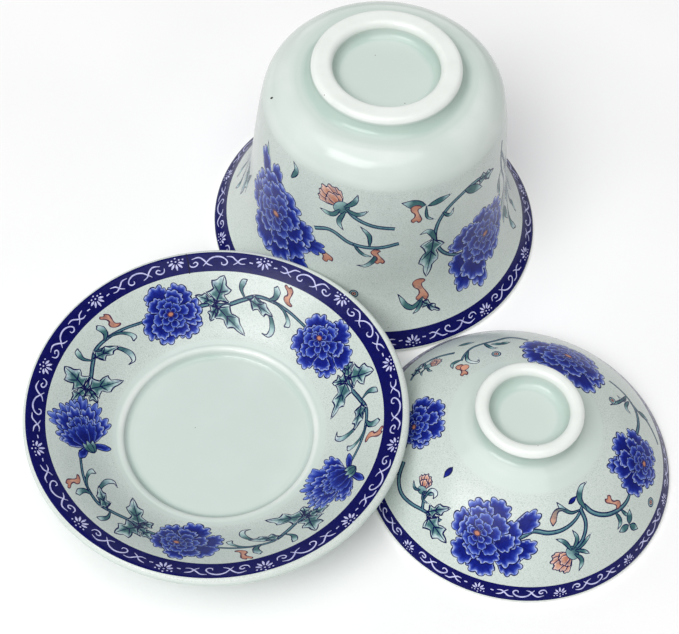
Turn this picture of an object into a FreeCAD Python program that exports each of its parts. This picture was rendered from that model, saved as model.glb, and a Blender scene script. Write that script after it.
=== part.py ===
import FreeCAD, Part
import math
import os

# A gaiwan: a saucer, a bowl and a lid in glazed porcelain. At rest the saucer stands
# upright, the bowl stands mouth down behind it, and the lid lies knob up beside it.
# Sizes are in millimetres. Outlines are (radius, height) pairs about each piece's own axis.

# Saucer, standing on its foot ring.
SAUCER_RADIUS = 56.5
SAUCER_HEIGHT = 23.6
SAUCER_WALL = 3.0
SAUCER_LIP = 1.45
WELL_FLOOR = 5.6
WELL_RADIUS = 28.4
SAUCER_FOOT_INNER = 27.0
SAUCER_FOOT_OUTER = 29.6
SAUCER_FLOOR_THICKNESS = 3.1

# Bowl, standing on its foot ring.
BOWL_RADIUS = 53.9
BOWL_HEIGHT = 76.0
BOWL_WALL = 2.7
BOWL_LIP = 1.1
BOWL_FOOT_INNER = 18.2
BOWL_FOOT_OUTER = 20.9
BOWL_FOOT_RECESS = 4.9
BOWL_FLOOR_THICKNESS = 3.1

# Lid, lying on its rim with the knob up.
LID_RADIUS = 46.6
LID_WALL = 2.6
LID_LIP = 1.2
KNOB_RADIUS = 15.9
KNOB_HEIGHT = 32.5
KNOB_RECESS = 5.0
LID_CROWN_INSIDE = 22.1

# Layout on the table, from the saucer's centre to the centre of each other piece.
BOWL_OFFSET = (43.85, 89.7)
LID_OFFSET = (90.6, 0.0)


def point(radius, height):
    return FreeCAD.Vector(radius, 0, height)


def direction(degrees):
    """Unit direction in the outline's plane, measured from outward towards up."""
    return point(math.cos(math.radians(degrees)), math.sin(math.radians(degrees)))


def line(start, end):
    return Part.LineSegment(start, end).toShape()


def arc(start, middle, end):
    return Part.Arc(start, middle, end).toShape()


def curve(points):
    """A smooth curve through the points."""
    spline = Part.BSplineCurve()
    spline.interpolate(Points=points)
    return spline.toShape()


def shifted(points, distance):
    """The points moved sideways by distance, to the left of the way the list runs."""
    moved = []
    for index, here in enumerate(points):
        before = points[max(index - 1, 0)]
        after = points[min(index + 1, len(points) - 1)]
        along = (after - before).normalize()
        moved.append(here + point(-along.z, along.x) * distance)
    return moved


def lip(centre, radius, wall_degrees):
    """A half-round lip at the end of a wall that runs outward at wall_degrees.

    Returns the arc's start on the wall's upper side, its middle and its end below.
    """
    side = direction(wall_degrees + 90) * radius
    return centre + side, centre + direction(wall_degrees) * radius, centre - side


def turned(edges):
    """The closed outline spun once round the vertical axis."""
    face = Part.Face(Part.Wire(edges))
    return face.revolve(point(0, 0), FreeCAD.Vector(0, 0, 1), 360)


def saucer():
    """Deep dish with a sunk well for the bowl's foot, a broad rim and a foot ring."""
    rim_degrees = 25
    lip_centre = point(SAUCER_RADIUS - SAUCER_LIP, SAUCER_HEIGHT - SAUCER_LIP)
    lip_top, lip_edge, lip_under = lip(lip_centre, SAUCER_LIP, rim_degrees)

    floor_end = point(WELL_RADIUS - 1.8, WELL_FLOOR)
    fillet_middle = point(WELL_RADIUS - 0.5, WELL_FLOOR + 0.45)
    fillet_end = point(WELL_RADIUS + 0.1, WELL_FLOOR + 1.4)
    ledge_middle = point(WELL_RADIUS + 0.85, WELL_FLOOR + 2.2)
    ledge_end = point(WELL_RADIUS + 2.2, WELL_FLOOR + 2.5)
    dish = [ledge_end, point(34.5, 9.8), point(38.5, 12.6), point(43.5, 16.6), point(49.0, 20.6), lip_top]

    under_floor = WELL_FLOOR - SAUCER_FLOOR_THICKNESS
    foot_top = point(SAUCER_FOOT_OUTER + 2.2, 4.1)
    underside = [lip_under, *reversed(shifted(dish[1:-1], -SAUCER_WALL)), foot_top]
    foot_outside = point(SAUCER_FOOT_OUTER + 0.5, 0.7)
    foot_inside = point(SAUCER_FOOT_INNER - 0.5, 0.7)
    return turned([
        line(point(0, WELL_FLOOR), floor_end),
        arc(floor_end, fillet_middle, fillet_end),
        arc(fillet_end, ledge_middle, ledge_end),
        curve(dish),
        arc(lip_top, lip_edge, lip_under),
        curve(underside),
        curve([foot_top, point(SAUCER_FOOT_OUTER + 0.9, 2.6), foot_outside]),
        arc(foot_outside, point(SAUCER_FOOT_OUTER + 0.35, 0.2), point(SAUCER_FOOT_OUTER, 0)),
        line(point(SAUCER_FOOT_OUTER, 0), point(SAUCER_FOOT_INNER, 0)),
        arc(point(SAUCER_FOOT_INNER, 0), point(SAUCER_FOOT_INNER - 0.35, 0.2), foot_inside),
        curve([foot_inside, point(SAUCER_FOOT_INNER - 1.1, 2.1), point(24.6, under_floor)]),
        line(point(24.6, under_floor), point(0, under_floor)),
        line(point(0, under_floor), point(0, WELL_FLOOR)),
    ])


def bowl():
    """Straight-sided bowl with a flared mouth, a square shoulder and a thick foot ring."""
    rim_degrees = 44
    lip_centre = point(BOWL_RADIUS - BOWL_LIP, BOWL_HEIGHT - BOWL_LIP)
    lip_inside, lip_edge, lip_outside = lip(lip_centre, BOWL_LIP, rim_degrees)

    foot_outside = point(BOWL_FOOT_OUTER + 1.9, 1.9)
    shoulder = [
        foot_outside, point(23.3, 3.7), point(24.9, 5.0), point(28.0, 5.4), point(31.3, 6.3),
        point(34.3, 8.5), point(36.5, 11.9),
    ]
    wall = [
        point(37.6, 16.2), point(38.5, 22.0), point(39.6, 31.0), point(40.7, 41.0),
        point(42.1, 51.5), point(44.3, 59.8), point(47.1, 66.0), point(50.2, 70.8),
    ]
    inside_floor = BOWL_FOOT_RECESS + BOWL_FLOOR_THICKNESS
    inside_base = [
        point(33.1, 14.0), point(29.3, 10.8), point(23.5, 8.9), point(17.5, 8.2), point(12.0, inside_floor),
    ]
    inside = [lip_inside, *reversed(shifted(wall[1:], BOWL_WALL)), *inside_base]

    foot_inside = point(BOWL_FOOT_INNER - 2.0, 1.9)
    recess_corner = point(14.2, BOWL_FOOT_RECESS)
    return turned([
        line(point(0, BOWL_FOOT_RECESS), recess_corner),
        curve([recess_corner, point(15.6, 4.1), foot_inside]),
        arc(foot_inside, point(BOWL_FOOT_INNER - 1.35, 0.5), point(BOWL_FOOT_INNER, 0)),
        line(point(BOWL_FOOT_INNER, 0), point(BOWL_FOOT_OUTER, 0)),
        arc(point(BOWL_FOOT_OUTER, 0), point(BOWL_FOOT_OUTER + 1.3, 0.5), foot_outside),
        curve([*shoulder, *wall, lip_outside]),
        arc(lip_outside, lip_edge, lip_inside),
        curve(inside),
        line(inside[-1], point(0, inside_floor)),
        line(point(0, inside_floor), point(0, BOWL_FOOT_RECESS)),
    ])


def lid():
    """Shallow dome that drops into the bowl's mouth, with a hollow ring for a knob."""
    rim_degrees = 306
    lip_centre = point(LID_RADIUS - LID_LIP, LID_LIP)
    lip_outside, lip_edge, lip_inside = lip(lip_centre, LID_LIP, rim_degrees)

    ring_edge = point(KNOB_RADIUS, KNOB_HEIGHT - 1.4)
    ring_waist = [point(14.9, 28.8), point(14.1, 27.0), point(14.7, 25.3)]
    dome = [
        point(17.4, 24.0), point(21.5, 22.4), point(27.5, 19.8), point(33.3, 16.2),
        point(38.1, 12.1), point(41.8, 8.2), point(44.6, 4.5),
    ]
    crown_edge = point(6.0, LID_CROWN_INSIDE)
    inside = [lip_inside, *reversed(shifted(dome[2:], -LID_WALL)), point(14.0, 21.3), crown_edge]

    ring_top = point(KNOB_RADIUS - 2.2, KNOB_HEIGHT)
    ring_inside = point(KNOB_RADIUS - 4.2, KNOB_HEIGHT - 1.5)
    recess_floor = KNOB_HEIGHT - KNOB_RECESS
    recess_corner = point(8.8, recess_floor)
    return turned([
        line(point(0, recess_floor), recess_corner),
        curve([recess_corner, point(10.7, recess_floor + 0.9), ring_inside]),
        arc(ring_inside, point(KNOB_RADIUS - 3.5, KNOB_HEIGHT - 0.4), ring_top),
        arc(ring_top, point(KNOB_RADIUS - 0.6, KNOB_HEIGHT - 0.45), ring_edge),
        curve([ring_edge, *ring_waist, *dome, lip_outside]),
        arc(lip_outside, lip_edge, lip_inside),
        curve(inside),
        line(crown_edge, point(0, LID_CROWN_INSIDE)),
        line(point(0, LID_CROWN_INSIDE), point(0, recess_floor)),
    ])


def centre_of_layout():
    """Middle of the three pieces' common bounding box, from the saucer's centre."""
    low_x = -SAUCER_RADIUS
    high_x = LID_OFFSET[0] + LID_RADIUS
    low_y = -SAUCER_RADIUS
    high_y = BOWL_OFFSET[1] + BOWL_RADIUS
    return (low_x + high_x) / 2, (low_y + high_y) / 2


def placed(shape, offset, upside_down=False):
    """The piece moved to its place on the table, turned over first if it stands that way."""
    centre_x, centre_y = centre_of_layout()
    shape = shape.copy()
    if upside_down:
        shape.rotate(point(0, 0), FreeCAD.Vector(1, 0, 0), 180)
        shape.translate(point(0, BOWL_HEIGHT))
    shape.translate(FreeCAD.Vector(offset[0] - centre_x, offset[1] - centre_y, 0))
    return shape


def main():
    os.makedirs("parts", exist_ok=True)
    pieces = {
        "saucer": placed(saucer(), (0, 0)),
        "bowl": placed(bowl(), BOWL_OFFSET, upside_down=True),
        "lid": placed(lid(), LID_OFFSET),
    }
    for name, shape in pieces.items():
        box = shape.BoundBox
        print(name, shape.ShapeType, shape.isValid(), round(shape.Volume), [
            round(value, 2) for value in (box.XMin, box.XMax, box.YMin, box.YMax, box.ZMin, box.ZMax)
        ])
        shape.exportStep(f"parts/{name}.step")


main()
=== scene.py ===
import math
import random

import bmesh
import bpy
import numpy as np
from mathutils import Matrix, Vector
from mathutils.geometry import delaunay_2d_cdt


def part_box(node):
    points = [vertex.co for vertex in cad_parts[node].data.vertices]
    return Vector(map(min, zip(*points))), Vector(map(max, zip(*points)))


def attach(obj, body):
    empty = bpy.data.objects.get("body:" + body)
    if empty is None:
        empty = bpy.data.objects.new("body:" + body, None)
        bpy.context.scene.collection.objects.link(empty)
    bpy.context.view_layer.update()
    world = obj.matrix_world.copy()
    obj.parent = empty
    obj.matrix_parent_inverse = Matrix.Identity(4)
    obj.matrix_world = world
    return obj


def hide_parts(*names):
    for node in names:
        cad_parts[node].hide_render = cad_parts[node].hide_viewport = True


# A gaiwan in pale glazed porcelain with cobalt decoration: a saucer, a bowl and a lid.
# Each piece is one closed mesh. Its painted shapes are cut into the glaze's own surface,
# so the decoration has its outlines in the geometry and its colours in a colour attribute.

MM = 0.001
SEGMENTS = 192          # corners of each ring round a piece
RING_STEP = 2.0         # mm, the most between two rings
RING_TURN = 8.0         # degrees, the most that the outline turns between two rings
PAINT_STEP = 0.62       # mm between the points that carry the paint's gradients
BRUSH_STEP = 0.35       # mm between the corners of a drawn outline
BAND_TURNS = 3          # corners of the band's edges for each corner of a ring
FRAME_LOOPS = 4         # the loops cut before the shapes: two rings and the band's two edges
CUT_NEAR = 2e-4         # mm, corners nearer than this become one
FULL = 2 * math.pi

# Paints, as sRGB from 0 to 255.
NAVY = (6, 8, 88)
OUTLINE = (8, 15, 76)
DEEP = (12, 26, 122)
COBALT = (30, 50, 156)
SKY = (94, 118, 204)
PALE = (184, 198, 236)
LILAC = (204, 204, 240)
TEAL = (66, 110, 112)
MINT = (158, 192, 190)
CORAL = (192, 130, 106)
PEACH = (214, 164, 140)
PEACH_LIGHT = (222, 160, 134)
RUST = (92, 56, 78)
STALK = (70, 112, 124)
STALK_LIGHT = (112, 152, 158)
FLECK = (26, 24, 22)
SEAM = (10, 8, 52)


def linear(colour):
    """An sRGB colour from 0 to 255 as linear light."""
    share = np.asarray(colour, float) / 255
    return np.where(share <= 0.04045, share / 12.92, ((share + 0.055) / 1.055) ** 2.4)


def smoothstep(low, high, value):
    """0 up to low, 1 from high, and a smooth step between them."""
    share = np.clip((np.asarray(value, float) - low) / (high - low), 0, 1)
    return share * share * (3 - 2 * share)


def ray(degrees, length=1.0):
    """A complex point at a distance from 0, in a direction in degrees."""
    return length * np.exp(1j * math.radians(degrees))


def smooth_path(points, closed=False, step=BRUSH_STEP):
    """Points along a smooth curve through the given complex points, about step apart."""
    points = np.asarray(points, complex)
    if closed:
        ring = np.concatenate([points[-1:], points, points[:2]])
    else:
        ring = np.concatenate([[2 * points[0] - points[1]], points, [2 * points[-1] - points[-2]]])
    out = []
    for before, start, end, after in zip(ring, ring[1:], ring[2:], ring[3:]):
        span = abs(end - start)
        leave = (end - before) / max(abs(end - before), 1e-9) * span
        arrive = (after - start) / max(abs(after - start), 1e-9) * span
        share = np.arange(max(1, math.ceil(span / step))) / max(1, math.ceil(span / step))
        out.append(
            start * (1 - 3 * share**2 + 2 * share**3) + end * (3 * share**2 - 2 * share**3)
            + leave * (share - 2 * share**2 + share**3) + arrive * (share**3 - share**2)
        )
    if not closed:
        out.append(points[-1:])
    return np.concatenate(out)


# ---- surfaces

def circle_centre(corners):
    """The centre of the circle that corners at one height lie on."""
    rows = np.array([(c.x, c.y, 1) for c in corners])
    answer = np.linalg.lstsq(rows, (rows[:, :2] ** 2).sum(axis=1), rcond=None)[0]
    return Vector((answer[0] / 2, answer[1] / 2, 0))


def loop_area(points):
    """The area inside a closed loop, above 0 when it runs counterclockwise."""
    x, y = points[:, 0], points[:, 1]
    return np.sum(x * np.roll(y, -1) - np.roll(x, -1) * y) / 2


class Surface:
    """A piece's turned outline, read from its CAD node, with the way along it in mm.

    The outline starts on the axis on the side that shows, goes over the rim and ends on
    the axis on the far side.
    """

    def __init__(self, node):
        self.node = node
        corners = self._seam(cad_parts[node].data)
        path = smooth_path(corners, step=0.3)
        self.radius, self.height = np.maximum(path.real, 0), path.imag
        steps = np.hypot(np.diff(self.radius), np.diff(self.height))
        self.way = np.concatenate([[0], np.cumsum(steps)])

    def _seam(self, mesh):
        """The corners along the CAD solid's seam, from axis to axis, as radius + height j."""
        low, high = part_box(self.node)
        middle = (low + high) / 2
        part = bmesh.new()
        part.from_mesh(mesh)
        bmesh.ops.remove_doubles(part, verts=part.verts, dist=1e-7)
        seam = {v for v in part.verts if abs(v.co.y - middle.y) < 1e-6 and v.co.x > middle.x + 1e-3}

        def nearby(corner):
            found = [e.other_vert(corner) for e in corner.link_edges]
            return [v for v in found if v in seam]

        first = max((v for v in seam if len(nearby(v)) == 1), key=lambda v: v.co.z)
        around = (first.co - middle).xy.length
        edge = [
            v.co for v in part.verts
            if abs(v.co.z - first.co.z) < 1e-6 and abs((v.co - middle).xy.length - around) < 2e-4
        ]
        self.centre = circle_centre(edge)
        path = [first]
        seam.discard(first)
        while seam:
            here = path[-1].co
            level = [v for v in seam if abs(v.co.z - here.z) < 1e-6]
            choice = nearby(path[-1]) or level
            if not choice:
                break
            path.append(min(choice, key=lambda v: (v.co - here).length))
            seam.discard(path[-1])
        corners = [complex(v.co.x - self.centre.x, v.co.z) / MM for v in path]
        part.free()
        ends = [complex(0, corner.imag) for corner in (corners[0], corners[-1])]
        return np.array([ends[0], *corners, ends[1]])

    def at(self, way):
        """(radius, height) in mm at a way along the outline."""
        return np.interp(way, self.way, self.radius), np.interp(way, self.way, self.height)

    def way_at(self, radius=None, height=None):
        """The way to a radius, or to a height on a wall that falls to the rim, before the rim."""
        last = np.argmax(self.radius)
        values, target = (self.radius, radius) if height is None else (-self.height, -height)
        index = np.nonzero(values[:last] < target)[0][-1]
        share = (target - values[index]) / (values[index + 1] - values[index])
        return self.way[index] + share * (self.way[index + 1] - self.way[index])

    def points(self, angle, way):
        radius, height = self.at(way)
        across = self.centre.x + radius * np.cos(angle) * MM
        return np.stack([across, self.centre.y + radius * np.sin(angle) * MM, height * MM], axis=-1)

    def normals(self, angle, way, reach=0.3):
        r0, z0 = self.at(way - reach)
        r1, z1 = self.at(way + reach)
        length = np.hypot(r1 - r0, z1 - z0)
        out, up = (z0 - z1) / length, (r1 - r0) / length
        return np.stack([out * np.cos(angle), out * np.sin(angle), up], axis=-1)

    def bend(self, way, reach=1.3):
        """How fast the outline turns, per mm: above 0 in hollows and below 0 on edges."""
        (r0, z0), (r1, z1), (r2, z2) = self.at(way - reach), self.at(way), self.at(way + reach)
        return ((r1 - r0) * (z2 - z1) - (z1 - z0) * (r2 - r1)) / reach**3

    def rings(self, start, end):
        """Ways from start to end, close together where the outline turns fast."""
        ways = np.linspace(start, end, max(8, int((end - start) / 0.05)))
        turn = np.degrees(np.abs(self.bend(ways, 0.2)))
        density = np.maximum(1 / RING_STEP, turn / RING_TURN)
        total = np.concatenate([[0], np.cumsum((density[1:] + density[:-1]) / 2 * np.diff(ways))])
        return np.interp(np.linspace(0, total[-1], math.ceil(total[-1]) + 1), total, ways)


class Pen:
    """Draws on a canvas round a place: x goes round the piece and y away from its rim, in mm.

    A pen can be turned, mirrored, scaled and squashed: its own z lies at a*z + b*conj(z) + c.
    """

    def __init__(self, canvas, angle, way, transform=(1, 0, 0)):
        self.canvas = canvas
        self.angle = angle
        self.way = way
        self.transform = transform

    def at(self, place=0, turn=0, mirror=False, squash=1.0):
        """A pen at a place of this one: stretched along x by squash, mirrored, then turned."""
        a, b = (squash + 1) / 2, (squash - 1) / 2
        if mirror:
            a, b = -b, -a
        a, b, c = a * ray(turn), b * ray(turn), place
        A, B, C = self.transform
        mixed = (A * a + B * np.conj(b), A * b + B * np.conj(a), A * c + B * np.conj(c) + C)
        return Pen(self.canvas, self.angle, self.way, mixed)

    def put(self, z):
        """The angle and the way of the pen's points."""
        a, b, c = self.transform
        spot = a * z + b * np.conj(z) + c
        way = self.way - spot.imag
        radius = self.canvas.surface.at(way)[0]
        return self.angle + spot.real / radius, way

    def find(self, angle, way):
        """The pen's points at these angles and ways."""
        a, b, c = self.transform
        radius = self.canvas.surface.at(way)[0]
        turn = (angle - self.angle + math.pi) % FULL - math.pi
        spot = turn * radius + 1j * (self.way - way) - c
        return (np.conj(a) * spot - b * np.conj(spot)) / (abs(a) ** 2 - abs(b) ** 2)

    def fill(self, outline, paint):
        """A filled shape. Its paint is a colour, or a function from points to linear colours."""
        self.canvas.shapes.append((self, np.asarray(outline, complex), paint))


class Canvas:
    """The painted zone of a surface, between two ways, and the shapes drawn on it in turn."""

    def __init__(self, surface, start, end, band, lip, step=PAINT_STEP):
        self.surface = surface
        self.start, self.end = start, end
        self.band, self.lip = band, lip     # functions of the angle: the band's two edges
        self.step = step
        self.shapes = []

    def pen(self, degrees, radius=None, height=None):
        return Pen(self, math.radians(degrees), self.surface.way_at(radius, height))

    def flat(self, angle, way):
        """The zone laid out flat as a ring, which keeps its sizes nearly true."""
        across = self.flat_radius + way - self.start
        return np.stack([across * np.cos(angle), across * np.sin(angle)], axis=-1)

    def cut(self):
        """Cuts the zone along every shape: angles, ways, triangles, their shape, ring corners."""
        self.flat_radius = max(float(self.surface.at((self.start + self.end) / 2)[0]) * 0.8, 12)
        turns = np.arange(SEGMENTS) / SEGMENTS * FULL
        loops = [(turns, np.full(SEGMENTS, self.end)), (turns, np.full(SEGMENTS, self.start))]
        fine = np.arange(SEGMENTS * BAND_TURNS) / SEGMENTS / BAND_TURNS * FULL
        loops += [(fine, self.band(fine)), (fine, self.lip(fine))]
        loops += [pen.put(counterclockwise(outline)) for pen, outline, _ in self.shapes]
        for index, (angle, way) in enumerate(loops[FRAME_LOOPS:], FRAME_LOOPS):
            loops[index] = (angle, np.clip(way, self.start + 0.05, self.end - 0.05))
        corners, faces, count = [], [], 0
        for angle, way in loops:
            flat = self.flat(angle, way)
            order = np.arange(len(flat)) + count
            corners.append(flat)
            count += len(flat)
            if loop_area(flat) < 0:
                order, flat = order[::-1], flat[::-1]
            faces.append(np.roll(order, -int(np.argmax(flat[:, 0]))).tolist())
        corners.append(self._grid())
        corners = np.concatenate(corners)
        out = delaunay_2d_cdt([Vector(c) for c in corners], [], faces, 0, CUT_NEAR, True)
        flat = np.array([tuple(v) for v in out[0]])
        triangles = np.array([f for f in out[2]])
        angle = np.arctan2(flat[:, 1], flat[:, 0])
        way = np.hypot(flat[:, 0], flat[:, 1]) - self.flat_radius + self.start
        ring = np.full(len(flat), -1)
        for index, origins in enumerate(out[3]):
            known = [o for o in origins if o < 2 * SEGMENTS]
            if known:
                ring[index] = known[0]
        a, b, c = (flat[triangles[:, k]] for k in range(3))
        (bx, by), (cx, cy) = (b - a).T, (c - a).T
        area = (bx * cy - cx * by) / 2
        outlines = [corners[face] for face in faces]
        leaks = self._leaks(outlines, out[5], np.abs(area))
        top = np.full(len(triangles), -1)
        keep = np.zeros(len(triangles), bool)
        for index, faces_here in enumerate(out[5]):
            keep[index] = 0 in faces_here and 1 not in faces_here
            shapes = [i for i in faces_here if i >= FRAME_LOOPS and i not in leaks]
            top[index] = max(shapes) - FRAME_LOOPS if shapes else -1
        middles = (a + b + c) / 3
        for index in leaks:
            held = enclosed(outlines[index], middles)
            top[held] = np.maximum(top[held], index - FRAME_LOOPS)
        triangles[area < 0] = triangles[area < 0][:, ::-1]
        return angle, way, triangles[keep], top[keep], ring

    def _leaks(self, outlines, holders, sizes):
        """The shapes whose triangles, as the cut gives them, do not add up to their own area."""
        covered = np.zeros(len(outlines))
        for faces_here, size in zip(holders, sizes):
            for index in faces_here:
                covered[index] += size
        leaks = set()
        for index in range(FRAME_LOOPS, len(outlines)):
            own = abs(loop_area(outlines[index]))
            if not 0.85 * own - 0.02 < covered[index] < 1.15 * own + 0.1:
                leaks.add(index)
        return leaks

    def _grid(self):
        """Loose points all over the zone, which carry the shading inside the shapes."""
        out = []
        rows = max(2, round((self.end - self.start) / (self.step * 0.87)))
        for row in range(1, rows):
            way = self.start + (self.end - self.start) * row / rows
            across = self.flat_radius + way - self.start
            radius = float(self.surface.at(way)[0])
            count = max(SEGMENTS, round(FULL * radius / self.step))
            angle = (np.arange(count) + 0.5 * (row % 2)) / count * FULL
            out.append(np.stack([across * np.cos(angle), across * np.sin(angle)], axis=-1))
        return np.concatenate(out)

    def colours(self, angle, way, triangles, top):
        """Linear colour and cover of each triangle's corners."""
        out = np.zeros((len(triangles), 3, 4))
        spin = np.exp(1j * angle[triangles])
        middle = np.angle(spin.sum(axis=1))
        centre = way[triangles].mean(axis=1)
        banded = (top < 0) & (centre > self.band(middle)) & (centre < self.lip(middle))
        out[banded] = (*linear(NAVY), 1)
        for index in np.unique(top[top >= 0]):
            pen, _, paint = self.shapes[index]
            here = triangles[top == index]
            if callable(paint):
                shade = paint(pen.find(angle[here].ravel(), way[here].ravel())).reshape(-1, 3, 3)
            else:
                shade = np.broadcast_to(linear(paint), (len(here), 3, 3))
            out[top == index, :, :3] = shade
            out[top == index, :, 3] = 1
        return out


def enclosed(loop, spots):
    """The indices of the spots that a closed loop winds round, even where it crosses itself."""
    low, high = loop.min(axis=0), loop.max(axis=0)
    near = np.nonzero(((spots > low) & (spots < high)).all(axis=1))[0]
    winding = np.zeros(len(near), int)
    x, y = spots[near].T
    for (x0, y0), (x1, y1) in zip(loop, np.roll(loop, -1, axis=0)):
        side = (x1 - x0) * (y - y0) - (x - x0) * (y1 - y0)
        winding += ((y0 <= y) & (y < y1) & (side > 0)).astype(int)
        winding -= ((y1 <= y) & (y < y0) & (side < 0)).astype(int)
    return near[winding != 0]


def counterclockwise(outline):
    """The same closed outline of complex points, turned round if it runs clockwise."""
    area = np.sum((np.conj(outline) * np.roll(outline, -1)).imag)
    return outline if area > 0 else outline[::-1]


def build(surface, canvas):
    """The whole piece as one closed mesh with its paint, its glaze with painted shade and highlight,
    and its true normals.
    """
    ways = list(surface.rings(0, canvas.start))
    split = len(ways) - 1
    ways += list(surface.rings(canvas.end, surface.way[-1]))
    turns = np.arange(SEGMENTS) / SEGMENTS * FULL
    inner = np.array(ways[1:-1])
    angle = np.concatenate([np.tile(turns, len(inner)), [0, 0]])
    way = np.concatenate([np.repeat(inner, SEGMENTS), [0, surface.way[-1]]])
    top_pole, low_pole = len(angle) - 2, len(angle) - 1
    here = np.arange(SEGMENTS)
    beside = (here + 1) % SEGMENTS
    faces = [[top_pole, a, b] for a, b in zip(here, beside)]
    for ring in range(len(inner) - 1):
        if ring + 1 != split:
            a, b = ring * SEGMENTS, (ring + 1) * SEGMENTS
            faces += np.stack([a + here, b + here, b + beside, a + beside], axis=-1).tolist()
    last = (len(inner) - 1) * SEGMENTS
    faces += [[last + a, low_pole, last + b] for a, b in zip(here, beside)]
    plain = sum(len(f) for f in faces)

    cut_angle, cut_way, triangles, top, ring = canvas.cut()
    paint = canvas.colours(cut_angle, cut_way, triangles, top)
    start = (split - 1) * SEGMENTS
    after = np.where(ring < SEGMENTS, start + SEGMENTS + ring, start + ring - SEGMENTS)
    index = np.where(ring < 0, 0, after)
    used = np.zeros(len(ring), bool)
    used[triangles.ravel()] = True
    new = used & (ring < 0)
    index[new] = len(angle) + np.arange(new.sum())
    angle = np.concatenate([angle, cut_angle[new]])
    way = np.concatenate([way, cut_way[new]])
    faces += index[triangles].tolist()

    mesh = bpy.data.meshes.new(surface.node + "_porcelain")
    mesh.from_pydata(surface.points(angle, way).tolist(), [], faces)
    colour = mesh.attributes.new("paint", "FLOAT_COLOR", "CORNER")
    shades = np.concatenate([np.zeros((plain, 4)), paint.reshape(-1, 4)])
    colour.data.foreach_set("color", shades.astype(np.float32).ravel())
    ground = smoothstep(canvas.ground - 0.5, canvas.ground + 0.9, way)
    ground = ground * (1 - smoothstep(canvas.end - 0.4, canvas.end + 0.4, way))
    # The glaze attribute: first glaze pooling with painted shade and painted highlight, then the
    # decorated ground and the bare foot.
    glaze = np.stack([
        glaze_pool_and_painted_light(surface, canvas.end, way), ground, bare(surface, way), np.ones(len(way)),
    ], axis=-1)
    attribute = mesh.attributes.new("glaze", "FLOAT_COLOR", "POINT")
    attribute.data.foreach_set("color", glaze.astype(np.float32).ravel())
    mesh.polygons.foreach_set("use_smooth", np.ones(len(mesh.polygons), bool))
    mesh.normals_split_custom_set_from_vertices(surface.normals(angle, way).tolist())
    mesh.update()
    return placed(mesh.name, mesh)


# ---- brush shapes

def inset(outline, by):
    """A closed counterclockwise outline moved inwards, by a little more here than there."""
    outline = counterclockwise(np.asarray(outline, complex))
    tangent = np.roll(outline, -1) - np.roll(outline, 1)
    tangent = tangent / np.maximum(np.abs(tangent), 1e-9)
    share = np.arange(len(outline)) / len(outline) * FULL
    wave = 1 + 0.22 * np.sin(3 * share + by * 40) + 0.12 * np.sin(7 * share)
    return outline + 1j * tangent * by * wave


def ribbon(path, widths, step=BRUSH_STEP):
    """The outline of a brush stroke along a path, through widths spaced evenly along it."""
    path = smooth_path(path, step=step)
    tangent = np.gradient(path)
    tangent = tangent / np.maximum(np.abs(tangent), 1e-9)
    share = np.linspace(0, 1, len(path))
    half = np.interp(share, np.linspace(0, 1, len(widths)), widths) / 2
    return np.concatenate([path + 1j * tangent * half, (path - 1j * tangent * half)[::-1]])


def ramp(stops):
    """A function from 0 to 1 to linear colours through (place, sRGB colour) stops."""
    places = [place for place, colour in stops]
    colours = np.array([linear(colour) for place, colour in stops])
    return lambda share: np.stack([np.interp(share, places, c) for c in colours.T], axis=-1)


def spread(outline, hub, stops, streaks=0.0, phase=0.0):
    """A paint that runs from a hub out to the shape's own outline, with fine streaks."""
    arms = outline - hub
    order = np.argsort(np.angle(arms))
    angles, reaches, shade = np.angle(arms)[order], np.abs(arms)[order], ramp(stops)

    def paint(z):
        angle = np.angle(z - hub)
        reach = np.interp(angle, angles, reaches, period=FULL)
        share = np.abs(z - hub) / np.maximum(reach, 1e-6)
        streak = np.sin(angle * 19 + phase) + 0.7 * np.sin(angle * 31 + 2 * phase)
        return shade(np.clip(share + streaks * streak * share, 0, 1))

    return paint


def along(start, end, stops):
    """A paint that runs from one point to another."""
    shade = ramp(stops)
    way = end - start
    return lambda z: shade(np.clip(((z - start) * np.conj(way)).real / abs(way) ** 2, 0, 1))


def shape(pen, outline, paint, line=0.34, edge=OUTLINE):
    """A shape with a drawn edge round it."""
    outline = counterclockwise(np.asarray(outline, complex))
    pen.fill(outline, edge)
    pen.fill(inset(outline, line), paint)


def disc(radius, squash=1.0, count=18):
    turn = np.arange(count) / count * FULL
    return radius * (np.cos(turn) + 1j * squash * np.sin(turn))


PETAL = [(0, NAVY), (0.35, DEEP), (0.66, DEEP), (0.84, COBALT), (0.95, SKY), (1, PALE)]
PETAL_DARK = [(0, NAVY), (0.6, DEEP), (0.86, COBALT), (1, SKY)]
PETAL_SMALL = [(0, NAVY), (0.45, DEEP), (0.76, COBALT), (0.95, SKY), (1, (150, 170, 226))]
LEAF = [(0, TEAL), (0.58, TEAL), (0.76, MINT), (1, (212, 225, 224))]


def petal_outline(length, width, lobes, depth, phase):
    """A petal that grows from 0 towards +x, with a scalloped far edge."""
    count = max(20, round((length + width) * 1.8 / 0.3))
    turn = np.linspace(-math.pi, math.pi, count, endpoint=False)
    across = 0.5j * width * np.sin(turn) * (0.8 + 0.3 * np.cos(turn))
    flat = length * (0.5 + 0.5 * np.cos(turn)) + across
    hub = 0.42 * length
    far = smoothstep(-0.35, 0.55, np.cos(turn))
    notch = 1 - np.abs(np.cos(turn * lobes / 2 + phase)) ** 0.55
    wave = 1 - depth * far * notch + 0.05 * np.sin(2 * turn + phase * 3)
    return hub + (flat - hub) * wave


def petal(pen, length, width, lobes=9, depth=0.3, phase=0.0, stops=PETAL, line=0.3):
    outline = petal_outline(length, width, lobes, depth, phase)
    paint = spread(inset(outline, line), 0.16 * length, stops, 0.035, phase)
    shape(pen, outline, paint, line)


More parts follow.
